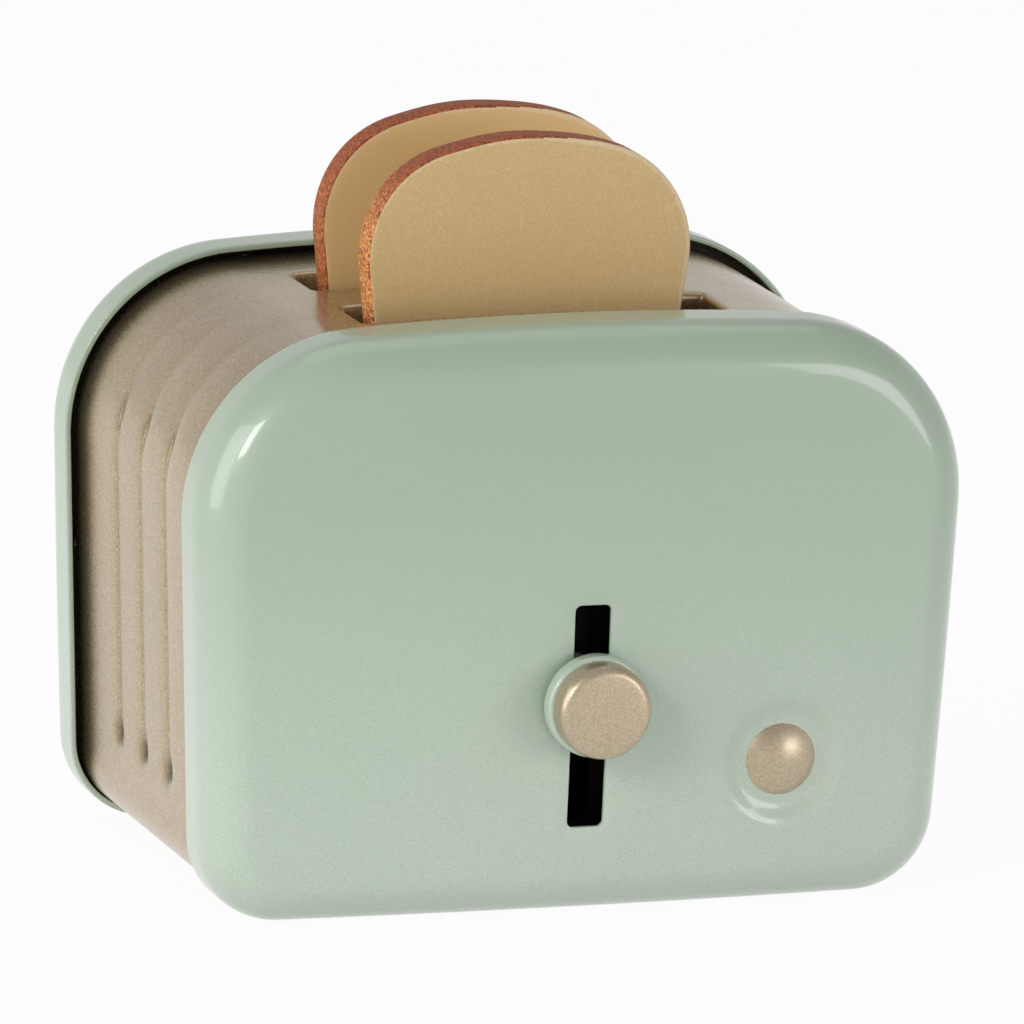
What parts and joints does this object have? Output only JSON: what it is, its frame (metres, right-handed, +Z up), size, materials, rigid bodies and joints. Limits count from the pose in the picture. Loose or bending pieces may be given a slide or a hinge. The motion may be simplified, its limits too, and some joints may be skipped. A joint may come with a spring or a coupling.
{
  "type": "toy toaster",
  "caption": "Toy toaster in painted pressed tin, with a lever knob that lifts and lowers slices of toy bread on an inner carriage.",
  "frame": {"origin": "on the table, under the middle of the whole toy with its knob", "axes": "+X to the right seen from the front, +Y towards the back, +Z up"},
  "size_m": [0.0618, 0.0486, 0.0582],
  "materials": {
    "mint_enamel": "gloss",
    "champagne_paint": "satin metallic",
    "tinplate": "satin",
    "steel": "bright",
    "nylon": "matt",
    "bread": "painted, satin"
  },
  "bodies": {
    "shell": {"front_cover": "mint_enamel", "rear_cover": "mint_enamel", "body_wrap": "champagne_paint", "front_end_plate": "tinplate", "rear_end_plate": "tinplate", "base_plate": "tinplate", "base_rivets": "steel", "front_bread_channel": "tinplate", "rear_bread_channel": "tinplate"},
    "carriage": {"carriage_bracket": "tinplate", "front_bread_tray": "tinplate", "rear_bread_tray": "tinplate", "tray_rivets": "steel", "guide_shoe": "nylon", "friction_spring": "steel", "lever_stem": "steel", "stem_spacer": "steel", "stem_clip": "steel", "knob_skirt": "mint_enamel", "knob_cap": "champagne_paint"},
    "front_bread": {"front_slice": "bread"},
    "rear_bread": {"rear_slice": "bread"}
  },
  "joints": [
    {"name": "lever_slide", "type": "slide", "parent": "shell", "child": "carriage", "axis": [0, 0, 1], "range_m": [-0.0085, 0.0062]},
    {"name": "front_slice_lift", "type": "slide", "parent": "carriage", "child": "front_bread", "axis": [0, 0, 1], "range_m": [0, 0.034]},
    {"name": "rear_slice_lift", "type": "slide", "parent": "carriage", "child": "rear_bread", "axis": [0, 0, 1], "range_m": [0, 0.034]}
  ]
}
